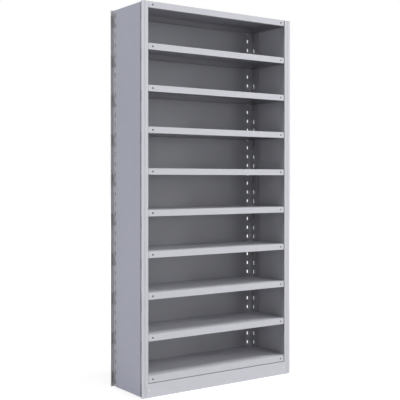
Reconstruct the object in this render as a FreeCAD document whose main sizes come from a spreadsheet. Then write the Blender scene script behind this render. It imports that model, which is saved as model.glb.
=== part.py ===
"""Closed steel library shelving bay: four T posts, side and back panels, ten box-edge shelves.

Millimetres. X runs along the shelves, Y from the open front to the back, Z up.
The origin is on the floor at the centre of the footprint.
"""
import FreeCAD, Part
import math
import os
import Sketcher

doc = FreeCAD.newDocument("library_shelving")
sheet = doc.addObject("Spreadsheet::Sheet", "sizes")

DRIVING_SIZES = {
    # overall
    "unit_width": 946.0,          # over the posts' outer edges
    "post_depth": 307.0,          # front face of the front posts to back face of the rear posts
    "shelf_count": 10,
    "slots_per_shelf": 4,         # slot pitches between two neighbouring shelves
    "base_height": 103.2,         # floor to the top of the lowest shelf
    # posts: one sheet folded into a T, seam down the middle of the face
    "post_sheet": 1.6,
    "post_face": 38.0,
    "rear_wing": 57.0,            # rear posts: width of the inner wing, from the stem's middle
    "stem_depth": 60.0,
    "seam_size": 1.2,
    "fold_radius": 1.2,
    # slots for the shelf clips, and the second row in the rear wings
    "slot_pitch": 50.8,
    "slot_width": 8.0,
    "slot_height": 22.0,
    "slot_inset": 16.5,           # face to the middle of the slot row
    "slot_drop": 12.0,            # middle of a shelf's front edge down to the slot below it
    "wing_slot_inset": 36.0,      # stem's middle to the middle of the wing's slot row
    "wing_slot_rise": 3.0,
    # shelves
    "shelf_sheet": 1.0,
    "edge_height": 31.0,
    "edge_return": 14.0,
    "edge_hem": 22.0,
    "edge_end_bevel": 2.5,
    "side_return": 12.0,
    # the shelves stand over to the left: post's edge to each end of the shelf's front edge
    "left_edge_gap": 0.8,
    "right_edge_gap": 5.0,
    "side_gap": 0.5,              # shelf clip to the shelf's side
    "rear_gap": 0.5,              # shelf to the rear posts' wings
    "notch_gap": 1.4,             # back of the front posts' faces to the shelf
    "label_hole": 9.0,
    "label_hole_inset": 26.5,     # post's edge to the middle of the label hole
    # shelf clips
    "clip_sheet": 1.5,
    "clip_width": 18.0,
    "clip_ledge": 16.0,
    "clip_above": 11.5,           # clip's top above the shelf's underside
    "clip_below": 55.5,           # clip's foot below the shelf's underside
    "tongue_gap": 1.0,            # tongue to the slot's edge, all round
    "tongue_reach": 0.8,          # tongue beyond the far side of the stem
    # spacers on the outer halves of the posts, one below each shelf
    "spacer_width": 5.0,
    "spacer_thickness": 5.0,
    "spacer_height": 58.0,
    "spacer_inset": 1.5,
    "spacer_drop": 42.0,          # middle of a shelf's front edge down to the spacer's middle
    # side panels
    "panel_sheet": 1.0,
    "side_recess": 12.7,          # posts' outer edges to the panel's outer face
    "side_margin": 35.0,          # face of the posts to the panel's edge
    "side_flange": 14.0,
    "panel_foot": 2.0,
    "bend_radius": 0.9,
    # back panel
    "back_sheet": 1.0,
    "back_inset": 61.0,           # posts' outer edges to the panel's edge
    "back_foot": 6.0,
    # base strip
    "strip_sheet": 1.0,
    "strip_gap": 3.0,             # lowest shelf's edge to the strip
    "strip_end_gap": 8.0,         # seam of the post to the strip's end
    "strip_return": 12.0,
    "strip_return_gap": 5.0,      # post's edge to the end of the strip's turned edges
    "strip_hole": 5.0,
    "strip_hole_inset": 41.5,     # posts' outer edges to the screw holes
    "tab_sheet": 1.5,
    "tab_height": 35.0,
    "tab_margin": 7.5,            # beyond the screw's axis
}

for row, (alias, value) in enumerate(DRIVING_SIZES.items(), start=1):
    sheet.set(f"A{row}", alias)
    sheet.set(f"B{row}", str(value))
    sheet.setAlias(f"B{row}", alias)
doc.recompute()


def named(terms):
    """Puts the sheet's name before every alias in an expression."""
    words = []
    for word in terms.replace("(", " ( ").replace(")", " ) ").split():
        words.append(f"sizes.{word}" if word in DRIVING_SIZES else word)
    return " ".join(words).replace("floor (", "floor(")


# places and lengths that several pieces share, worked out from the driving sizes
HALF_WIDTH = "unit_width / 2"
FACE = "post_depth / 2"
POST_MIDDLE = "( unit_width / 2 - post_face / 2 )"
SHELF_PITCH = "( slots_per_shelf * slot_pitch )"
UNIT_HEIGHT = f"( base_height + ( shelf_count - 1 ) * {SHELF_PITCH} )"
FIRST_EDGE_MIDDLE = "( base_height - edge_height / 2 )"
FIRST_SLOT = f"( {FIRST_EDGE_MIDDLE} - slot_drop - slot_pitch )"
SLOT_COUNT = "( ( shelf_count - 1 ) * slots_per_shelf + 2 )"
STEM_INNER = f"( {POST_MIDDLE} - post_sheet )"
STEM_OUTER = f"( {POST_MIDDLE} + post_sheet )"
SHELF_HALF = f"( {STEM_INNER} - clip_sheet - side_gap )"
POST_EDGE = "( unit_width / 2 - post_face )"
EDGE_LEFT = f"( {POST_EDGE} - left_edge_gap )"
EDGE_RIGHT = f"( {POST_EDGE} - right_edge_gap )"
SHELF_REAR = f"( {FACE} - post_sheet - rear_gap )"
LABEL_HOLE_X = f"( {POST_EDGE} - label_hole_inset )"
STRIP_TOP = "( base_height - edge_height - strip_gap )"
STRIP_HALF = f"( {POST_MIDDLE} - strip_end_gap )"

SIDES = {"left": -1, "right": 1}
ENDS = {"front": -1, "rear": 1}
finished = []


def origin_feature(body, role):
    return next(feature for feature in body.Origin.OriginFeatures if feature.Role == role)


def new_body(label):
    body = doc.addObject("PartDesign::Body", label)
    body.Label = label
    finished.append(body)
    return body


def place(body, x="0", y="0", z="0"):
    for axis, expression in (("x", x), ("y", y), ("z", z)):
        body.setExpression(f"Placement.Base.{axis}", named(expression))


def new_sketch(body, name, plane, offset="0", rise="0"):
    """A sketch on one of the body's origin planes, moved along its normal and up its own y."""
    sketch = body.newObject("Sketcher::SketchObject", f"{body.Name}_{name}")
    sketch.AttachmentSupport = [(origin_feature(body, plane), "")]
    sketch.MapMode = "FlatFace"
    sketch.setExpression("AttachmentOffset.Base.z", named(offset))
    sketch.setExpression("AttachmentOffset.Base.y", named(rise))
    return sketch


def pin_point(sketch, line, end, x, y):
    """Fixes one end of a line at a place given by two expressions."""
    for kind, expression in (("DistanceX", x), ("DistanceY", y)):
        index = sketch.addConstraint(Sketcher.Constraint(kind, line, end, 1.0))
        sketch.setExpression(f"Constraints[{index}]", named(expression))


def outline(sketch, corners):
    """A closed outline of straight lines through corners given as pairs of expressions."""
    first = len(sketch.Geometry)
    count = len(corners)
    ring = [
        FreeCAD.Vector(math.cos(math.tau * i / count), math.sin(math.tau * i / count), 0)
        for i in range(count)
    ]
    for i in range(count):
        sketch.addGeometry(Part.LineSegment(ring[i], ring[(i + 1) % count]), False)
    for i in range(count):
        following = first + (i + 1) % count
        sketch.addConstraint(Sketcher.Constraint("Coincident", first + i, 2, following, 1))
    for i, (x, y) in enumerate(corners):
        pin_point(sketch, first + i, 1, x, y)


def rectangle(sketch, x_low, y_low, x_high, y_high):
    outline(sketch, [(x_low, y_low), (x_high, y_low), (x_high, y_high), (x_low, y_high)])


def circle(sketch, x, y, diameter):
    index = len(sketch.Geometry)
    sketch.addGeometry(Part.Circle(FreeCAD.Vector(index + 1, 0, 0), FreeCAD.Vector(0, 0, 1), 1), False)
    pin_point(sketch, index, 3, x, y)
    constraint = sketch.addConstraint(Sketcher.Constraint("Diameter", index, 2.0))
    sketch.setExpression(f"Constraints[{constraint}]", named(diameter))


def pad(body, sketch, length, backwards=False, both_ways=False):
    feature = body.newObject("PartDesign::Pad", f"{sketch.Name}_pad")
    feature.Profile = sketch
    feature.setExpression("Length", named(length))
    feature.Reversed = backwards
    if both_ways:
        feature.SideType = "Symmetric"
    doc.recompute()
    return feature


def pocket(body, sketch, length=None, backwards=False):
    """A cut of a stated length, or right through both ways; it has to remove something."""
    before = body.Shape.Volume
    feature = body.newObject("PartDesign::Pocket", f"{sketch.Name}_pocket")
    feature.Profile = sketch
    feature.Reversed = backwards
    if length is None:
        feature.Type = "ThroughAll"
        feature.SideType = "Symmetric"
    else:
        feature.setExpression("Length", named(length))
    doc.recompute()
    if feature.Shape.Volume >= before - 1e-3:
        raise RuntimeError(f"{feature.Name} cuts nothing")
    return feature


def repeat(body, feature, axis, count, pitch):
    """Copies a feature along an axis of the body."""
    pattern = body.newObject("PartDesign::LinearPattern", f"{feature.Name}_row")
    pattern.Originals = [feature]
    pattern.Direction = (origin_feature(body, axis), [""])
    pattern.setExpression("Occurrences", named(count))
    pattern.setExpression("Length", named(f"( {count} - 1 ) * {pitch}"))
    body.Tip = pattern
    doc.recompute()
    return pattern


def corner_edges(base, sketch, corners):
    """The edges that a pad drew from the named corners of its sketch."""
    points = [sketch.Placement.multVec(sketch.Geometry[corner].StartPoint) for corner in corners]
    normal = sketch.Placement.Rotation.multVec(FreeCAD.Vector(0, 0, 1))
    names = []
    for number, edge in enumerate(base.Shape.Edges, start=1):
        if edge.Curve.TypeId != "Part::GeomLine" or edge.Curve.Direction.cross(normal).Length > 1e-6:
            continue
        for point in points:
            apart = edge.CenterOfMass - point
            if (apart - normal * apart.dot(normal)).Length < 1e-4:
                names.append(f"Edge{number}")
                break
    if len(names) != len(corners):
        raise RuntimeError(f"{base.Name}: {len(names)} edges found for {len(corners)} corners")
    return names


def round_corners(body, base, sketch, corners, radius):
    fillet = body.newObject("PartDesign::Fillet", f"{base.Name}_bend")
    fillet.Base = (base, corner_edges(base, sketch, corners))
    fillet.setExpression("Radius", named(radius))
    doc.recompute()
    return fillet


def bevel_corners(body, base, sketch, corners, size):
    chamfer = body.newObject("PartDesign::Chamfer", f"{base.Name}_bevel")
    chamfer.Base = (base, corner_edges(base, sketch, corners))
    chamfer.setExpression("Size", named(size))
    doc.recompute()
    return chamfer


def along(sign, expression):
    """An expression on the left or right, front or rear: the sign says which."""
    return f"{sign} * ( {expression} )"


def make_post(side, end):
    """A T post. Its frame is at the seam, on the outside of its face.

    Outward is towards the side panel; depth runs from the face into the unit.
    """
    out = SIDES[side]
    depth = -ENDS[end]
    wing = "rear_wing" if end == "rear" else "post_face / 2"
    body = new_body(f"post_{end}_{side}")
    profile = new_sketch(body, "profile", "XY_Plane")
    corners = [
        ("post_face / 2", "0"),
        ("seam_size", "0"),
        ("0", "seam_size"),
        ("- seam_size", "0"),
        (f"- {wing}", "0"),
        (f"- {wing}", "post_sheet"),
        ("- post_sheet", "post_sheet"),
        ("- post_sheet", "stem_depth"),
        ("post_sheet", "stem_depth"),
        ("post_sheet", "post_sheet"),
        ("post_face / 2", "post_sheet"),
    ]
    outline(profile, [(along(out, x), along(depth, y)) for x, y in corners])
    shaft = pad(body, profile, UNIT_HEIGHT)
    round_corners(body, shaft, profile, [6, 7, 8, 9], "fold_radius")

    slot = new_sketch(body, "slot", "YZ_Plane")
    rectangle(
        slot,
        along(depth, "slot_inset - slot_width / 2"), f"{FIRST_SLOT} - slot_height / 2",
        along(depth, "slot_inset + slot_width / 2"), f"{FIRST_SLOT} + slot_height / 2",
    )
    repeat(body, pocket(body, slot), "Z_Axis", SLOT_COUNT, "slot_pitch")

    if end == "rear":
        slot = new_sketch(body, "wing_slot", "XZ_Plane")
        rectangle(
            slot,
            along(-out, "wing_slot_inset - slot_width / 2"),
            f"{FIRST_SLOT} + wing_slot_rise - slot_height / 2",
            along(-out, "wing_slot_inset + slot_width / 2"),
            f"{FIRST_SLOT} + wing_slot_rise + slot_height / 2",
        )
        repeat(body, pocket(body, slot), "Z_Axis", SLOT_COUNT, "slot_pitch")
    place(body, along(out, POST_MIDDLE), along(-depth, FACE))


def make_side_panel(side):
    """A pan: flat outer face, edges turned in, then flanges that lie on the posts' stems."""
    out = SIDES[side]
    outer = f"{HALF_WIDTH} - side_recess"
    edge = f"{FACE} - side_margin"
    body = new_body(f"side_panel_{side}")
    profile = new_sketch(body, "profile", "XY_Plane", "panel_foot")
    half = [
        (outer, edge),
        (STEM_OUTER, edge),
        (STEM_OUTER, f"{edge} - side_flange"),
        (f"{STEM_OUTER} + panel_sheet", f"{edge} - side_flange"),
        (f"{STEM_OUTER} + panel_sheet", f"{edge} - panel_sheet"),
        (f"{outer} - panel_sheet", f"{edge} - panel_sheet"),
    ]
    corners = [(along(out, x), y) for x, y in half]
    corners += [(along(out, x), f"- ( {y} )") for x, y in reversed(half)]
    outline(profile, corners)
    sheet_pad = pad(body, profile, f"{UNIT_HEIGHT} - 2 * panel_foot")
    round_corners(body, sheet_pad, profile, [0, 1, 10, 11], "bend_radius")


def make_back_panel():
    """A flat sheet on the back of the rear posts' wings."""
    half = f"{HALF_WIDTH} - back_inset"
    body = new_body("back_panel")
    face = new_sketch(body, "face", "XZ_Plane", f"- ( {FACE} )")
    rectangle(face, f"- ( {half} )", "back_foot", half, f"{UNIT_HEIGHT} - panel_foot")
    pad(body, face, "back_sheet", backwards=True)


def make_shelf(label, level):
    """A box-edge shelf. Its frame is at the deck's top, on the unit's centre line."""
    body = new_body(label)
    front = f"- {FACE}"
    notch = f"- {FACE} + post_sheet + notch_gap"
    edge = new_sketch(body, "front_edge", "XZ_Plane", FACE)
    rectangle(edge, f"- {EDGE_LEFT}", "- edge_height", EDGE_RIGHT, "0")
    face = pad(body, edge, "shelf_sheet", backwards=True)
    bevel_corners(body, face, edge, [0, 1, 2, 3], "edge_end_bevel")

    deck = new_sketch(body, "deck", "XY_Plane")
    halves = [
        [
            (SHELF_HALF, SHELF_REAR),
            (SHELF_HALF, notch),
            (end, notch),
            (f"{end} - edge_end_bevel", f"{front} + shelf_sheet"),
            (f"{end} - edge_end_bevel", f"{front} + shelf_sheet / 2"),
        ]
        for end in (EDGE_RIGHT, EDGE_LEFT)
    ]
    outline(deck, halves[0] + [(f"- ( {x} )", y) for x, y in reversed(halves[1])])
    pad(body, deck, "shelf_sheet", backwards=True)

    side = new_sketch(body, "sides", "XZ_Plane", f"- {SHELF_REAR}")
    for sign in SIDES.values():
        corners = [
            (SHELF_HALF, "0"),
            (SHELF_HALF, "- edge_height"),
            (f"{SHELF_HALF} - side_return", "- edge_height"),
            (f"{SHELF_HALF} - side_return", "- edge_height + shelf_sheet"),
            (f"{SHELF_HALF} - shelf_sheet", "- edge_height + shelf_sheet"),
            (f"{SHELF_HALF} - shelf_sheet", "0"),
        ]
        outline(side, [(along(sign, x), z) for x, z in corners])
    pad(body, side, f"{SHELF_REAR} + {FACE} - post_sheet - notch_gap")

    rear = new_sketch(body, "rear", "YZ_Plane")
    outline(rear, [
        (SHELF_REAR, "0"),
        (SHELF_REAR, "- edge_height"),
        (f"{SHELF_REAR} - side_return", "- edge_height"),
        (f"{SHELF_REAR} - side_return", "- edge_height + shelf_sheet"),
        (f"{SHELF_REAR} - shelf_sheet", "- edge_height + shelf_sheet"),
        (f"{SHELF_REAR} - shelf_sheet", "0"),
    ])
    pad(body, rear, f"2 * {SHELF_HALF} - shelf_sheet", both_ways=True)

    turned = new_sketch(body, "front_return", "YZ_Plane", f"{EDGE_RIGHT} - edge_end_bevel")
    outline(turned, [
        (f"{front} + shelf_sheet / 2", "- edge_height"),
        (f"{front} + edge_return", "- edge_height"),
        (f"{front} + edge_return", "- edge_height + edge_hem"),
        (f"{front} + edge_return - shelf_sheet", "- edge_height + edge_hem"),
        (f"{front} + edge_return - shelf_sheet", "- edge_height + shelf_sheet"),
        (f"{front} + shelf_sheet / 2", "- edge_height + shelf_sheet"),
    ])
    pad(body, turned, f"{EDGE_LEFT} + {EDGE_RIGHT} - 2 * edge_end_bevel", backwards=True)

    holes = new_sketch(body, "label_holes", "XZ_Plane", FACE)
    for sign in SIDES.values():
        circle(holes, along(sign, LABEL_HOLE_X), "- edge_height / 2", "label_hole")
    pocket(body, holes, "2 * shelf_sheet")
    place(body, z=f"base_height + {level} * {SHELF_PITCH}")


def make_shelf_clips(side, end):
    """The clips of one post, one per shelf: a plate on the stem, a ledge, two tongues in slots."""
    out = SIDES[side]
    depth = -ENDS[end]
    underside = "( base_height - edge_height )"
    inner = "- post_sheet"
    body = new_body(f"shelf_clips_{end}_{side}")
    # the XZ plane's normal is -Y, so a place at a depth is reached with the sign turned
    middle = along(-depth, "slot_inset")
    plate = new_sketch(body, "plate", "XZ_Plane", middle)
    corners = [
        (inner, f"{underside} + clip_above"),
        (f"{inner} - clip_sheet", f"{underside} + clip_above"),
        (f"{inner} - clip_sheet", underside),
        (f"{inner} - clip_ledge", underside),
        (f"{inner} - clip_ledge", f"{underside} - clip_sheet"),
        (f"{inner} - clip_sheet", f"{underside} - clip_sheet"),
        (f"{inner} - clip_sheet", f"{underside} - clip_below"),
        (inner, f"{underside} - clip_below"),
    ]
    outline(plate, [(along(out, x), z) for x, z in corners])
    pressed = pad(body, plate, "clip_width", both_ways=True)

    tongue = new_sketch(body, "tongues", "XZ_Plane", middle)
    for slot_middle in (FIRST_SLOT, f"{FIRST_SLOT} + slot_pitch"):
        rectangle(
            tongue,
            along(out, f"{inner} - clip_sheet / 2"),
            f"{slot_middle} - slot_height / 2 + tongue_gap",
            along(out, "post_sheet + tongue_reach"),
            f"{slot_middle} + slot_height / 2 - tongue_gap",
        )
    bent = pad(body, tongue, "slot_width - 2 * tongue_gap", both_ways=True)
    pattern = repeat(body, pressed, "Z_Axis", "shelf_count", SHELF_PITCH)
    pattern.Originals = [pressed, bent]
    place(body, along(out, POST_MIDDLE), along(-depth, FACE))


def make_edge_spacers(side, end):
    """The spacers of one post, one below each shelf, on the inside of the face's outer half."""
    out = SIDES[side]
    depth = -ENDS[end]
    body = new_body(f"edge_spacers_{end}_{side}")
    profile = new_sketch(body, "profile", "XY_Plane", f"{FIRST_EDGE_MIDDLE} - spacer_drop")
    outer = "post_face / 2 - spacer_inset"
    corners = [
        (f"{outer} - spacer_width", "post_sheet"),
        (outer, "post_sheet"),
        (outer, "post_sheet + spacer_thickness"),
        (f"{outer} - spacer_width", "post_sheet + spacer_thickness"),
    ]
    outline(profile, [(along(out, x), along(depth, y)) for x, y in corners])
    block = pad(body, profile, "spacer_height", both_ways=True)
    repeat(body, block, "Z_Axis", "shelf_count", SHELF_PITCH)
    place(body, along(out, POST_MIDDLE), along(-depth, FACE))


def make_base_strip():
    """The kick plate in front of the posts' feet, with its edges turned back between them."""
    body = new_body("base_strip")
    face = new_sketch(body, "face", "XZ_Plane", FACE)
    rectangle(face, f"- {STRIP_HALF}", "0", STRIP_HALF, STRIP_TOP)
    pad(body, face, "strip_sheet")
    turned = new_sketch(body, "returns", "YZ_Plane")
    back = f"- {FACE} + strip_return"
    rectangle(turned, f"- {FACE} - strip_sheet / 2", "0", back, "strip_sheet")
    rectangle(turned, f"- {FACE} - strip_sheet / 2", f"{STRIP_TOP} - strip_sheet", back, STRIP_TOP)
    pad(body, turned, f"2 * ( {POST_EDGE} - strip_return_gap )", both_ways=True)
    holes = new_sketch(body, "screw_holes", "XZ_Plane", FACE)
    for sign in SIDES.values():
        circle(
            holes, along(sign, f"{HALF_WIDTH} - strip_hole_inset"), f"{STRIP_TOP} / 2",
            "strip_hole",
        )
    pocket(body, holes, "2 * strip_sheet", backwards=True)


def make_base_tab(side):
    """A plate on the back of a front post's inner half, which takes the strip's screw."""
    out = SIDES[side]
    body = new_body(f"base_tab_{side}")
    plate = new_sketch(body, "plate", "XZ_Plane", f"{FACE} - post_sheet")
    screw = f"{HALF_WIDTH} - strip_hole_inset"
    rectangle(
        plate,
        along(out, f"{screw} - tab_margin"), f"{STRIP_TOP} / 2 - tab_height / 2",
        along(out, f"{STEM_INNER} - fold_radius"), f"{STRIP_TOP} / 2 + tab_height / 2",
    )
    pad(body, plate, "tab_sheet", backwards=True)
    hole = new_sketch(body, "screw_hole", "XZ_Plane")
    circle(hole, along(out, screw), f"{STRIP_TOP} / 2", "strip_hole")
    pocket(body, hole)


for end_name in ENDS:
    for side_name in SIDES:
        make_post(side_name, end_name)
        make_shelf_clips(side_name, end_name)
        make_edge_spacers(side_name, end_name)
for side_name in SIDES:
    make_side_panel(side_name)
    make_base_tab(side_name)
make_back_panel()
make_base_strip()

top_level = int(DRIVING_SIZES["shelf_count"]) - 1
make_shelf("base_shelf", 0)
for shelf_level in range(1, top_level):
    make_shelf(f"shelf_{shelf_level}", shelf_level)
make_shelf("top_shelf", top_level)

doc.recompute()
for item in doc.Objects:
    if "Invalid" in item.State or "Error" in item.State:
        raise RuntimeError(f"{item.Label} failed: {item.State}")

os.makedirs("parts", exist_ok=True)
for piece in finished:
    if piece.Shape.isNull() or not piece.Shape.isValid():
        raise RuntimeError(f"{piece.Label} has no valid shape")
    piece.Shape.exportStep(f"parts/{piece.Label}.step")
    print(piece.Label, len(piece.Shape.Solids), round(piece.Shape.Volume))
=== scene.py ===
import math

import bpy
import numpy as np
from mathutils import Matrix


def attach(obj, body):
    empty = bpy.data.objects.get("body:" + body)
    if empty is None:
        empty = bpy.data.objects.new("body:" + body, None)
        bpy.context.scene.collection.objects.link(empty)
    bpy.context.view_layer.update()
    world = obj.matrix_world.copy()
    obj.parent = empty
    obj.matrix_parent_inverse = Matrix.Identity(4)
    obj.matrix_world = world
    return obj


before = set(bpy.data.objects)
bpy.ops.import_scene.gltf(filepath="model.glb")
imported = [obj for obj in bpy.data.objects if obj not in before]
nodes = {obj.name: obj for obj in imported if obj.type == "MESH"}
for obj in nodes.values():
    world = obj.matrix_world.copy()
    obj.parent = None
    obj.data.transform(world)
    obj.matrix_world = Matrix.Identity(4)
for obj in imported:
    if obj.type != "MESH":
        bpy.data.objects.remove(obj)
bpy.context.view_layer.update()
print("frame loaded:", len(nodes), "nodes")


def emptyTree(owner):
    # the node tree of a material or a world, with nothing in it
    owner.use_nodes = True
    owner.node_tree.nodes.clear()
    return owner.node_tree


def newMaterial(name):
    material = bpy.data.materials.new(name)
    return material, emptyTree(material)


def addNode(tree, kind, inputs, **settings):
    # inputs holds values or sockets, by the name or the number of the input
    node = tree.nodes.new(kind)
    for key, value in settings.items():
        setattr(node, key, value)
    for key, value in inputs.items():
        if isinstance(value, bpy.types.NodeSocket):
            tree.links.new(value, node.inputs[key])
        else:
            node.inputs[key].default_value = value
    return node


def calculate(tree, operation, *values):
    return addNode(tree, "ShaderNodeMath", dict(enumerate(values)), operation=operation).outputs[0]


def objectPlace(tree, stretch=(1, 1, 1)):
    # a place in the unit's frame, in metres, stretched along each axis
    source = addNode(tree, "ShaderNodeTexCoord", {}).outputs["Object"]
    mapping = addNode(tree, "ShaderNodeMapping", {"Vector": source, "Scale": stretch})
    return mapping.outputs["Vector"]


def spread(tree, value, source, target=(0.0, 1.0)):
    # from the source's two ends to the target's, and held there past them
    scale = addNode(tree, "ShaderNodeMapRange", {
        "Value": value,
        "From Min": source[0], "From Max": source[1],
        "To Min": target[0], "To Max": target[1],
    })
    return scale.outputs["Result"]


def noiseOf(tree, recipe):
    # recipe["noise"] is the noise's scale per metre, its detail and its roughness
    scale, detail, roughness = recipe["noise"]
    noise = addNode(tree, "ShaderNodeTexNoise", {
        "Vector": objectPlace(tree, recipe.get("stretch", (1, 1, 1))),
        "Scale": scale, "Detail": detail, "Roughness": roughness,
    })
    return noise.outputs["Fac"]


def patternOf(tree, recipe, target=(0.0, 1.0)):
    # the recipe's noise, with the part named by its contrast stretched to the target
    return spread(tree, noiseOf(tree, recipe), recipe["contrast"], target)


def bumpOf(tree, recipe, before=None):
    # the recipe's noise as a height, on top of the bump before it
    inputs = {
        "Height": noiseOf(tree, recipe),
        "Strength": recipe["strength"],
        "Distance": recipe["distance"],
    }
    if before is not None:
        inputs["Normal"] = before
    return addNode(tree, "ShaderNodeBump", inputs).outputs["Normal"]


def mixNumbers(tree, factor, first, second):
    # the Mix node's numbers are its inputs 2 and 3, and its colours 6 and 7
    return addNode(tree, "ShaderNodeMix", {"Factor": factor, 2: first, 3: second}).outputs[0]


def mixColours(tree, factor, first, second):
    # first and second are colours or sockets
    first, second = (colour if isinstance(colour, bpy.types.NodeSocket) else (*colour, 1)
                     for colour in (first, second))
    mix = addNode(tree, "ShaderNodeMix", {"Factor": factor, 6: first, 7: second}, data_type="RGBA")
    return mix.outputs[2]


def scaled(colour, factor):
    return tuple(channel * factor for channel in colour)


def finishShader(tree, colour, roughness, normal, constants):
    shader = addNode(tree, "ShaderNodeBsdfPrincipled", {
        "Base Color": colour, "Roughness": roughness, "Normal": normal, **constants,
    })
    addNode(tree, "ShaderNodeOutputMaterial", {"Surface": shader.outputs["BSDF"]})


powderCoat = {
    # share: how much of the coat's colour the pattern leaves where it is strongest
    "clouds": {"noise": (3.0, 4.0, 0.55), "contrast": (0.35, 0.65), "share": 0.955},
    "streaks": {"noise": (1.6, 5.0, 0.6), "contrast": (0.55, 0.8), "share": 1.03,
                "strongest": 0.6, "stretch": (14, 14, 1.2)},
    "grain": {"noise": (2600.0, 1.0, 0.5), "contrast": (0.3, 0.7), "share": 0.95},
    "sheen": {"noise": (24.0, 3.0, 0.5), "contrast": (0.3, 0.7), "roughness": (0.42, 0.54)},
    "peel": {"noise": (520.0, 2.0, 0.5), "strength": 0.14, "distance": 0.0004},
    "ripple": {"noise": (5.0, 1.0, 0.5), "strength": 0.10, "distance": 0.004,
               "stretch": (1, 1, 0.5)},
    "clear": {"Coat Weight": 0.1, "Coat Roughness": 0.3},
    "shelfRougher": 0.06,
}
coats = {
    # linear colours of the coat on each group of pieces
    "frame": (0.725, 0.727, 0.788),
    "frameFoldShade": (0.515, 0.517, 0.556),    # folds of the posts, painted shade
    "frameInnerShade": (0.430, 0.434, 0.464),     # painted shade: rear posts toward the bay, kick plate's turned edges
    "frameSideShade": (0.200, 0.201, 0.215),      # painted shade on the thin sides of the front posts' faces
    "shelf": (0.710, 0.712, 0.770),
    # side panels: painted light and shade, a blue-tinted outer coat for light from the left and a
    # separate paler copy on the inner faces
    "side": (0.455, 0.466, 0.560),
    "sideInnerLitCopy": (0.580, 0.584, 0.622),
    # painted shade: the back panel's bay side darker than the frame
    "back": (0.408, 0.413, 0.448),
}
paintedShadeShares = {"hidden": 0.50, "boxed": 0.12}   # painted shade on a shelf's hidden faces, darkest inside its front edge
zones = {
    # each zone starts between two distances in metres, outwards from the middle of the unit
    "sideOutside": (0.4595, 0.4600),         # outer faces of the side panels
    "postOutside": (0.4535, 0.4545),         # rear posts past the seam of their stems
    # or backwards along its depth
    "postFolds": (-0.1516, -0.1512),         # posts behind their front faces
    "rearHalf": (-0.01, 0.01),               # rear posts and rear spacers
    "postRear": (0.1525, 0.1529),            # rear faces of the rear posts
    "stripEdges": (-0.1543, -0.1540),        # kick plate behind its face
    "shelfInside": (-0.1533, -0.1530),       # shelves behind their front edges' faces
    "boxRear": (-0.1402, -0.1398),           # and behind the box that the front edge forms
    "backOutside": (0.1538, 0.1542),         # rear face of the back panel
}
facings = {
    # shares of the face's normal between which a face stops counting as down or as upright,
    "down": (-0.9, -0.5),
    "upright": (0.3, 0.5),
    # and starts to count as sideways
    "sideways": (0.60, 0.90),
}


def axisOf(tree, source, axis):
    # source "Object" gives the place in metres, and "Normal" the way the face looks
    vector = addNode(tree, "ShaderNodeTexCoord", {}).outputs[source]
    return addNode(tree, "ShaderNodeSeparateXYZ", {0: vector}).outputs[axis]


def outwardMask(tree, zone):
    # 1 where the zone has started, going out to either side
    return spread(tree, calculate(tree, "ABSOLUTE", axisOf(tree, "Object", "X")), zones[zone])


def behindMask(tree, zone):
    # 1 where the zone has started, going backwards
    return spread(tree, axisOf(tree, "Object", "Y"), zones[zone])


def sidewaysMask(tree):
    # 1 on faces that look to either side
    across = calculate(tree, "ABSOLUTE", axisOf(tree, "Normal", "X"))
    return spread(tree, across, facings["sideways"])


def downwardMask(tree, facing):
    # 1 on faces that look down at least as far as the facing says
    return spread(tree, axisOf(tree, "Normal", "Z"), facings[facing], (1.0, 0.0))


def coatPattern(tree, colour):
    # the colour times the share that clouds, faint upright streaks and fine grain leave of it
    clouds, streaks, grain = (powderCoat[key] for key in ("clouds", "streaks", "grain"))
    share = patternOf(tree, clouds, (1.0, clouds["share"]))
    streak = patternOf(tree, streaks, (0.0, streaks["strongest"]))
    share = mixNumbers(tree, streak, share, streaks["share"])
    share = mixNumbers(tree, patternOf(tree, grain), share, grain["share"])
    coat = addNode(tree, "ShaderNodeVectorMath", {0: colour, "Scale": share}, operation="SCALE")
    return coat.outputs["Vector"]


def frameCoat(tree):
    # painted shade: the thin sides of the front faces near black
    face = mixColours(tree, sidewaysMask(tree), coats["frame"], coats["frameSideShade"])
    # painted shade: the posts' folds darker, and the rear posts darker still toward the bays
    outside = outwardMask(tree, "postOutside")
    rearFolds = mixColours(tree, outside, coats["frameInnerShade"], coats["frameFoldShade"])
    folds = mixColours(tree, behindMask(tree, "rearHalf"), coats["frameFoldShade"], rearFolds)
    colour = mixColours(tree, behindMask(tree, "postFolds"), face, folds)
    return coatPattern(tree, mixColours(tree, behindMask(tree, "postRear"), colour, coats["frame"]))


def stripCoat(tree):
    # painted shade on the kick plate's turned edges behind its face
    edges = behindMask(tree, "stripEdges")
    return coatPattern(tree, mixColours(tree, edges, coats["frame"], coats["frameInnerShade"]))


def shelfCoat(tree):
    # painted shade, without the pattern, on faces that look down and on the upright ones behind the
    # front edge, darkest inside the box that the front edge forms
    hidden, boxed = (scaled(coats["shelf"], paintedShadeShares[key]) for key in ("hidden", "boxed"))
    inside = mixColours(tree, behindMask(tree, "boxRear"), boxed, hidden)
    upright, behind = downwardMask(tree, "upright"), behindMask(tree, "shelfInside")
    inner = calculate(tree, "MULTIPLY", upright, behind)
    colour = mixColours(tree, inner, coatPattern(tree, coats["shelf"]), inside)
    return mixColours(tree, downwardMask(tree, "down"), colour, hidden)


def sideCoat(tree):
    # painted light and shade: different coats on the panel's two faces
    outside = outwardMask(tree, "sideOutside")
    return coatPattern(tree, mixColours(tree, outside, coats["sideInnerLitCopy"], coats["side"]))


def backCoat(tree):
    # painted shade on the bay side; the rear face takes the side panels' blue-tinted outer coat
    outside = behindMask(tree, "backOutside")
    return coatPattern(tree, mixColours(tree, outside, coats["back"], coats["side"]))


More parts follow.
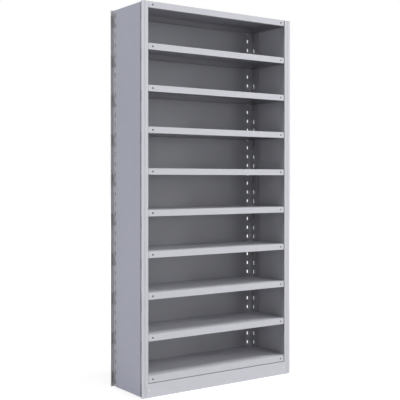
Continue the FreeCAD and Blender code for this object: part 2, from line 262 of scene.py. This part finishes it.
def powderCoatMaterial(name, coat, rougher=0.0):
    material, tree = newMaterial(name)
    sheen = powderCoat["sheen"]
    roughness = patternOf(tree, sheen, [end + rougher for end in sheen["roughness"]])
    normal = bumpOf(tree, powderCoat["ripple"], bumpOf(tree, powderCoat["peel"]))
    finishShader(tree, coat(tree), roughness, normal, powderCoat["clear"])
    return material


clipZinc = {
    "pale": (0.50, 0.50, 0.50), "dull": (0.36, 0.36, 0.37), "spangle": 240.0,
    "roughness": (0.32, 0.50),
}
screwZinc = {
    "pale": (0.78, 0.78, 0.77), "dull": (0.68, 0.68, 0.68), "spangle": 900.0,
    "roughness": (0.26, 0.36),
}
zinc = {
    "sheen": {"noise": (90.0, 3.0, 0.5), "contrast": (0.3, 0.7)},
    "grain": {"noise": (900.0, 3.0, 0.5), "strength": 0.1, "distance": 0.0002},
    "metal": {"Metallic": 0.9},
}


def zincMaterial(name, plate):
    material, tree = newMaterial(name)
    crystal = {"Vector": objectPlace(tree), "Scale": plate["spangle"]}
    spangle = addNode(tree, "ShaderNodeTexVoronoi", crystal).outputs["Distance"]
    colour = mixColours(tree, spangle, plate["pale"], plate["dull"])
    roughness = patternOf(tree, zinc["sheen"], plate["roughness"])
    finishShader(tree, colour, roughness, bumpOf(tree, zinc["grain"]), zinc["metal"])
    return material


spacerGreyAndShade = {
    # front spacers near black as painted shade of the recess behind the front posts, rear ones grey
    "front": (0.050, 0.050, 0.053),
    "rear": (0.230, 0.230, 0.240),
    "worn": 1.25,                # how much paler the mottle is
    "mottle": {"noise": (60.0, 4.0, 0.5), "contrast": (0.35, 0.7)},
    "sheen": {"noise": (200.0, 3.0, 0.5), "contrast": (0.3, 0.7), "roughness": (0.5, 0.68)},
    "grain": {"noise": (1400.0, 3.0, 0.5), "strength": 0.15, "distance": 0.0002},
}


def spacerMaterial(name):
    material, tree = newMaterial(name)
    front, rear = spacerGreyAndShade["front"], spacerGreyAndShade["rear"]
    # painted shade: the front spacers near black
    half = behindMask(tree, "rearHalf")
    plain = mixColours(tree, half, front, rear)
    worn = mixColours(tree, half, *(scaled(grey, spacerGreyAndShade["worn"]) for grey in (front, rear)))
    colour = mixColours(tree, patternOf(tree, spacerGreyAndShade["mottle"]), plain, worn)
    roughness = patternOf(tree, spacerGreyAndShade["sheen"], spacerGreyAndShade["sheen"]["roughness"])
    finishShader(tree, colour, roughness, bumpOf(tree, spacerGreyAndShade["grain"]), {})
    return material


finishes = {
    "frame": powderCoatMaterial("frame_coat", frameCoat),
    "strip": powderCoatMaterial("strip_coat", stripCoat),
    "shelf": powderCoatMaterial("shelf_coat", shelfCoat, powderCoat["shelfRougher"]),
    "side": powderCoatMaterial("side_panel_coat", sideCoat),
    "back": powderCoatMaterial("back_panel_coat", backCoat),
    "clip": zincMaterial("zinc_plate", clipZinc),
    "screw": zincMaterial("bright_zinc", screwZinc),
    "spacer": spacerMaterial("spacer_grey"),
}
finishWords = {
    # the first of these words in a node's name gives its finish, and nodes with none are frame
    "shelf_clips": "clip",
    "edge_spacers": "spacer",
    "side_panel": "side",
    "back_panel": "back",
    "shelf": "shelf",
    "base_strip": "strip",
}


def finishOf(nodeName):
    for word, finish in finishWords.items():
        if word in nodeName:
            return finishes[finish]
    return finishes["frame"]


for nodeName, node in nodes.items():
    node.data.materials.clear()
    node.data.materials.append(finishOf(nodeName))
print("finishes set on", len(nodes), "nodes")


def meshObject(name, points, faces, material):
    mesh = bpy.data.meshes.new(name)
    mesh.from_pydata(points, [], faces)
    mesh.update()
    mesh.materials.append(material)
    piece = bpy.data.objects.new(name, mesh)
    bpy.context.scene.collection.objects.link(piece)
    return piece


baseScrew = {
    "across": 0.4315,            # from the middle of the unit
    "height": 0.0346,
    "face": -0.1545,             # the kick plate's outer face
    "head": (0.0046, 0.0017),    # radius and height
    "shank": (0.0021, 0.009),    # radius and length
    "cross": (0.00055, 0.0024, 0.0011),   # half width, reach and depth of the driver's cross
    "crossEdge": 1.6,            # half widths from an arm's middle to its upper edge
    "crossEnd": 0.3,             # share of the reach over which an arm's end rises
    "rings": 13,
    "turns": 48,
    "finish": "screw",
}
rivet = {
    "head": (0.0035, 0.0012),
    "shank": (0.0016, 0.0015),
    "mandrel": (0.0011, 0.0005),   # radius and depth of the dimple in the head
    "mandrelEdge": 1.5,          # radii from the dimple's middle to its rim
    "rings": 7,
    "turns": 24,
    "finish": "clip",
}
headRim = 0.25                   # share of a head's height that is left at its rim


def headProfile(head):
    # a low dome from its crown out to the rim, then back under the head and down the shank:
    # the dome's height is the head's height times
    # (rim share + (1 - rim share) * the square root of 1 - (radius / rim radius) ** 3)
    radius, height = head["head"]
    shankRadius, shankLength = head["shank"]
    out = np.linspace(0.0, 1.0, head["rings"])
    dome = height * (headRim + (1 - headRim) * np.sqrt(1 - out ** 3))
    under = [(radius, 0.0), (shankRadius, 0.0), (shankRadius, -shankLength), (0.0, -shankLength)]
    return np.concatenate((np.stack((radius * out, dome), 1), under))


def turnedPiece(name, head, places, axis, sink):
    # the point at profile step i and angle a is
    # place + height * axis + radius * (cos a * up + sin a * across),
    # and sink(x, y) is how far the head is pressed in there
    profile, turns = headProfile(head), head["turns"]
    places, axis = np.array(places, float), np.array(axis, float)
    up = np.array((0.0, 0.0, 1.0))
    across = np.cross(axis, up)
    angle = np.linspace(0, math.tau, turns, endpoint=False)
    x = profile[:, :1] * np.cos(angle)
    y = profile[:, :1] * np.sin(angle)
    height = np.repeat(profile[:, 1:], turns, 1)
    height = height - sink(x, y) * (height > 0)
    local = height[..., None] * axis + x[..., None] * up + y[..., None] * across
    # one point at each pole, and the rings between them
    local = np.concatenate((local[0, :1], local[1:-1].reshape(-1, 3), local[-1, :1]))
    points = (places[:, None] + local[None]).reshape(-1, 3)
    rings = len(profile) - 2
    ring, turn = np.indices((rings - 1, turns))
    here, beside = 1 + ring * turns + turn, 1 + ring * turns + (turn + 1) % turns
    quads = np.stack((here, here + turns, beside + turns, beside), -1).reshape(-1, 4)
    first, following = here[0], beside[0]
    last = (rings - 1) * turns
    crown, foot = np.zeros(turns, int), np.full(turns, len(local) - 1)
    top = np.stack((crown, first, following), -1)
    bottom = np.stack((foot, following + last, first + last), -1)
    offset = (np.arange(len(places)) * len(local))[:, None, None]
    faces = [face for part in (quads, top, bottom)
             for face in (part[None] + offset).reshape(-1, part.shape[1]).tolist()]
    piece = meshObject(name, points.tolist(), faces, finishes[head["finish"]])
    piece.data.polygons.foreach_set("use_smooth", np.ones(len(faces), bool))
    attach(piece, "root")


def crossRecess(x, y):
    # deepest along the two arms, and nothing past their reach
    halfWidth, reach, depth = baseScrew["cross"]
    arm = np.clip(baseScrew["crossEdge"] - np.minimum(abs(x), abs(y)) / halfWidth, 0, 1)
    end = np.clip((reach - np.hypot(x, y)) / (baseScrew["crossEnd"] * reach), 0, 1)
    return depth * arm * end


def mandrelDimple(x, y):
    radius, depth = rivet["mandrel"]
    return depth * np.clip(rivet["mandrelEdge"] - np.hypot(x, y) / radius, 0, 1)


screwPlaces = [(side * baseScrew["across"], baseScrew["face"], baseScrew["height"])
               for side in (-1, 1)]
turnedPiece("base_screws", baseScrew, screwPlaces, (0, -1, 0), crossRecess)

backRivets = {
    "across": 0.4045,
    "face": 0.1545,              # the back panel's rear face
    "heights": np.linspace(0.06, 1.872, 7),
}
backPlaces = [(side * backRivets["across"], backRivets["face"], height)
              for side in (-1, 1) for height in backRivets["heights"]]
turnedPiece("back_rivets", rivet, backPlaces, (0, 1, 0), mandrelDimple)

sideRivets = {
    "across": 0.4524,            # inner faces of the stems
    "depth": 0.1115,             # in front of the middle of the unit, and behind it
    "heights": 0.2048 + 0.4064 * np.arange(5),   # every second shelf pitch
}
for side, sideName in ((-1, "left"), (1, "right")):
    sidePlaces = [(side * sideRivets["across"], end * sideRivets["depth"], height)
                  for end in (-1, 1) for height in sideRivets["heights"]]
    turnedPiece("side_rivets_" + sideName, rivet, sidePlaces, (-side, 0, 0), mandrelDimple)
print("fasteners:", len(screwPlaces), "screws,", len(backPlaces) + 2 * len(sidePlaces), "rivets")


slotRims = {
    # rims in the slots of the rear posts' wings, that narrow them
    "opening": (0.0064, 0.0170),  # width and height
    "outside": (0.0100, 0.0240),  # buried in the sheet round the slot
    "power": (5.0, 8.0),          # squareness of the opening and of the outside
    "depths": (0.1521, 0.1533),   # front and back, inside the sheet
    "across": 0.4180,
    "first": 0.0279,              # height of the lowest
    "pitch": 0.0508,
    "count": 38,
    "points": 24,
}


def squareLoop(size, power):
    # at angle a, x is half the width times cos a to the power 2 / power, with its sign kept,
    # and z is half the height times sin a likewise
    angle = np.linspace(0, math.tau, slotRims["points"], endpoint=False)
    waves = np.stack((np.cos(angle), np.sin(angle)), 1)
    x, z = (np.array(size) / 2 * np.sign(waves) * abs(waves) ** (2 / power)).T
    return np.stack((x, np.zeros_like(x), z), 1)


def makeSlotRims(name, side):
    # each rim's section runs from the outside at the front, to the opening, to the back
    # and out again
    opening = squareLoop(slotRims["opening"], slotRims["power"][0])
    outside = squareLoop(slotRims["outside"], slotRims["power"][1])
    front, back = (np.array((0.0, depth, 0.0)) for depth in slotRims["depths"])
    loops = np.stack((outside + front, opening + front, opening + back, outside + back))
    steps, points, count = len(loops), slotRims["points"], slotRims["count"]
    centres = np.zeros((count, 1, 1, 3))
    centres[..., 0] = side * slotRims["across"]
    centres[:, 0, 0, 2] = slotRims["first"] + slotRims["pitch"] * np.arange(count)
    rim, step, turn = np.indices((count, steps, points))
    number = (rim * steps + step) * points + turn
    beside = np.roll(number, -1, axis=2)
    corners = (number, beside, np.roll(beside, -1, axis=1), np.roll(number, -1, axis=1))
    faces = np.stack(corners, -1).reshape(-1, 4).tolist()
    places = (loops[None] + centres).reshape(-1, 3).tolist()
    piece = meshObject(name, places, faces, finishes["frame"])
    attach(piece, "root")


makeSlotRims("slot_rims_left", -1)
makeSlotRims("slot_rims_right", 1)
print("slot rims:", 2 * slotRims["count"])


room = {
    "floorReach": 40.0,          # from the middle to each side of the floor
    "floorColour": (0.50, 0.50, 0.50),
    "floorWhite": (0.70, 1.0),   # what the camera sees on top of the lit floor, near and far
    "farFrom": (1.5, 4.5),       # metres from the object
    "worldStrength": 0.18,
}


def pictureRays(tree):
    # 1 for the rays that show the background: straight, mirrored or through glass
    path = addNode(tree, "ShaderNodeLightPath", {}).outputs
    mirrored = calculate(tree, "MAXIMUM", path["Is Camera Ray"], path["Is Glossy Ray"])
    return calculate(tree, "MAXIMUM", mirrored, path["Is Transmission Ray"])


def makeFloor():
    material, tree = newMaterial("pale_floor")
    lit = addNode(tree, "ShaderNodeBsdfDiffuse", {"Color": (*room["floorColour"], 1)})
    distance = addNode(tree, "ShaderNodeVectorMath", {0: objectPlace(tree)}, operation="LENGTH")
    glow = spread(tree, distance.outputs["Value"], room["farFrom"], room["floorWhite"])
    strength = calculate(tree, "MULTIPLY", pictureRays(tree), glow)
    white = addNode(tree, "ShaderNodeEmission", {"Color": (1, 1, 1, 1), "Strength": strength})
    both = addNode(tree, "ShaderNodeAddShader", {0: lit.outputs[0], 1: white.outputs[0]})
    addNode(tree, "ShaderNodeOutputMaterial", {"Surface": both.outputs[0]})
    reach = room["floorReach"]
    corners = [(-reach, -reach, 0), (reach, -reach, 0), (reach, reach, 0), (-reach, reach, 0)]
    meshObject("floor", corners, [(0, 1, 2, 3)], material)


def makeWorld():
    world = bpy.data.worlds.new("studio")
    tree = emptyTree(world)
    strength = spread(tree, pictureRays(tree), (0.0, 1.0), (room["worldStrength"], 1.0))
    sky = addNode(tree, "ShaderNodeBackground", {"Color": (1, 1, 1, 1), "Strength": strength})
    addNode(tree, "ShaderNodeOutputWorld", {"Surface": sky.outputs[0]})
    bpy.context.scene.world = world


lamps = {
    # name: degrees to the right of the front, degrees up, strength
    "rightLow": (60, 10, 0.22),
    "rightHigh": (60, 50, 0.31),
    "frontLow": (20, 0, 0.08),
    "leftFront": (-40, 12, 0.06),
    "frontHigh": (20, 35, 0.13),
    "top": (0, 78, 0.26),
    "left": (-88, 22, 0.305),
    "back": (170, 15, 0.35),
}
lampRig = {"distance": 16.0, "size": 4.6, "aim": (0.0, 0.0, 0.95)}


def makeLamp(name, around, up, strength):
    # strength 1 makes a white surface that faces the lamp render white
    distance = lampRig["distance"]
    light = bpy.data.lights.new(name, "AREA")
    light.shape = "SQUARE"
    light.size = lampRig["size"]
    light.energy = strength * (math.pi * distance) ** 2
    lamp = bpy.data.objects.new(name, light)
    bpy.context.scene.collection.objects.link(lamp)
    around, up = math.radians(around), math.radians(up)
    out = distance * math.cos(up)
    offset = (out * math.sin(around), -out * math.cos(around), distance * math.sin(up))
    lamp.location = [aim + step for aim, step in zip(lampRig["aim"], offset)]
    lamp.rotation_euler = (math.pi / 2 - up, 0, around)


view = {
    "place": (-2.524, -3.5815, 1.065),
    "yaw": 34.95,                # degrees to the right of +Y
    "pitch": -0.47,
    "lens": 74.2,                # both in mm
    "sensor": 36.0,
    "shiftY": -0.0345,
}


def makeCamera():
    camera = bpy.data.cameras.new("camera")
    camera.sensor_width = view["sensor"]
    camera.lens = view["lens"]
    camera.shift_y = view["shiftY"]
    holder = bpy.data.objects.new("camera", camera)
    bpy.context.scene.collection.objects.link(holder)
    holder.location = view["place"]
    holder.rotation_euler = (math.radians(90 + view["pitch"]), 0, -math.radians(view["yaw"]))
    bpy.context.scene.camera = holder


makeFloor()
makeWorld()
for lampName, lampValues in lamps.items():
    makeLamp(lampName, *lampValues)
makeCamera()
bpy.context.scene.view_settings.view_transform = "Standard"
print("stage, lamps and camera set")
